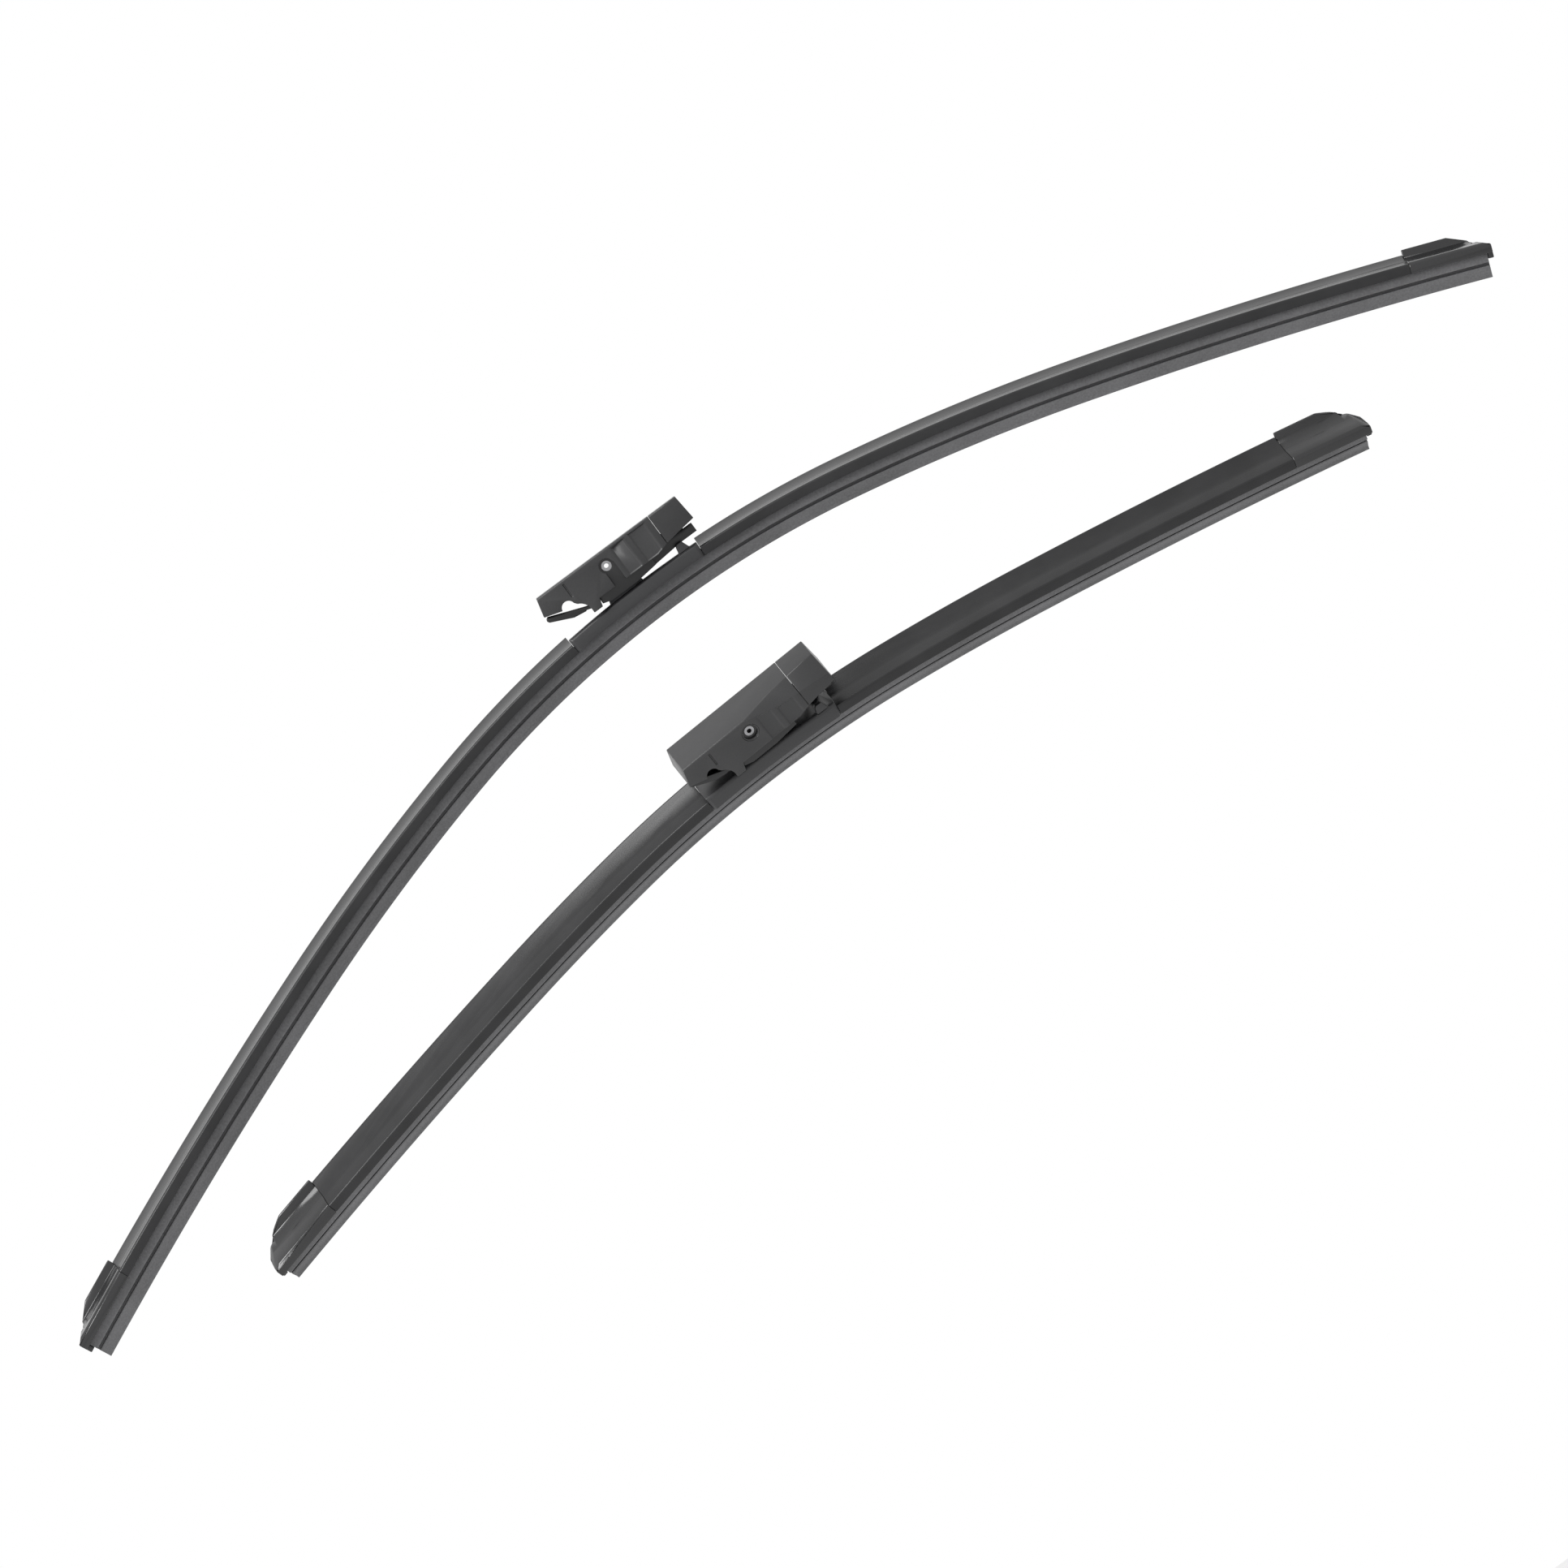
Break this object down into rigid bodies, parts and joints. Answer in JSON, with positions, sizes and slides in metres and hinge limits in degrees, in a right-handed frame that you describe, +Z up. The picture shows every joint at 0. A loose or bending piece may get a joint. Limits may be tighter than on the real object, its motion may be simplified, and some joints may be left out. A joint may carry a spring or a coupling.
{
  "type": "pair of beam windshield wiper blades",
  "caption": "Pair of bowed beam windshield wiper blades, long and short, with rear-ridged spoilers, finned end caps and pivoting arm adapters.",
  "frame": {"origin": "on the flat seat of the long blade's adapter, straight above its pivot rivet", "axes": "+X along the long blade to its right end, +Z up out of the arm seat and away from the glass, -Y towards the spoiler's low front side"},
  "size_m": [0.5876, 0.1166, 0.131],
  "materials": {
    "wiping_rubber": "moulded rubber, matte, with a fine graphite bloom",
    "spring_steel": "hardened spring strip, dark satin",
    "spoiler_plastic": "extruded elastomer, satin black",
    "cap_plastic": "moulded plastic, semi-gloss black",
    "plated_steel": "pressed sheet steel, dark zinc plating",
    "base_plastic": "moulded plastic, satin charcoal",
    "rivet_steel": "turned steel, satin",
    "housing_plastic": "moulded plastic, satin charcoal",
    "black_acetal": "moulded acetal, satin black",
    "cover_plastic": "moulded plastic, satin charcoal"
  },
  "bodies": {
    "adapters": {"long_adapter_housing": "housing_plastic", "long_adapter_insert": "black_acetal", "long_end_cover": "cover_plastic", "short_adapter_housing": "housing_plastic", "short_adapter_insert": "black_acetal", "short_end_cover": "cover_plastic"},
    "long_blade": {"long_rubber_element": "wiping_rubber", "long_rail_front": "spring_steel", "long_rail_rear": "spring_steel", "long_spoiler_left": "spoiler_plastic", "long_spoiler_right": "spoiler_plastic", "long_end_cap_left": "cap_plastic", "long_end_cap_right": "cap_plastic", "long_carrier": "plated_steel", "long_base_cover": "base_plastic", "long_pivot_rivet": "rivet_steel"},
    "long_lever": {"long_release_lever": "black_acetal"},
    "short_blade": {"short_rubber_element": "wiping_rubber", "short_rail_front": "spring_steel", "short_rail_rear": "spring_steel", "short_spoiler_left": "spoiler_plastic", "short_spoiler_right": "spoiler_plastic", "short_end_cap_left": "cap_plastic", "short_end_cap_right": "cap_plastic", "short_carrier": "plated_steel", "short_base_cover": "base_plastic", "short_pivot_rivet": "rivet_steel"},
    "short_lever": {"short_release_lever": "black_acetal"}
  },
  "joints": [
    {"name": "long_blade_pivot", "type": "hinge", "parent": "adapters", "child": "long_blade", "pos_m": [0, 0, -0.005], "axis": [0, 1, 0], "range_deg": [-5.1, 7.9]},
    {"name": "long_release_lever_hinge", "type": "hinge", "parent": "adapters", "child": "long_lever", "pos_m": [-0.0106, 0, -0.013], "axis": [0, -1, 0], "range_deg": [0, 10], "stiffness_Nm_per_rad": 0.08, "springref_deg": -2.86},
    {"name": "short_blade_pivot", "type": "hinge", "parent": "adapters", "child": "short_blade", "pos_m": [0.0052, -0.098, -0.0711], "axis": [-0.0206, 0.8704, 0.492], "range_deg": [-8.5, 4.5]},
    {"name": "short_release_lever_hinge", "type": "hinge", "parent": "adapters", "child": "short_lever", "pos_m": [-0.0051, -0.09406, -0.0785], "axis": [0.0206, -0.8704, -0.492], "range_deg": [0, 10], "stiffness_Nm_per_rad": 0.08, "springref_deg": -2.86}
  ]
}
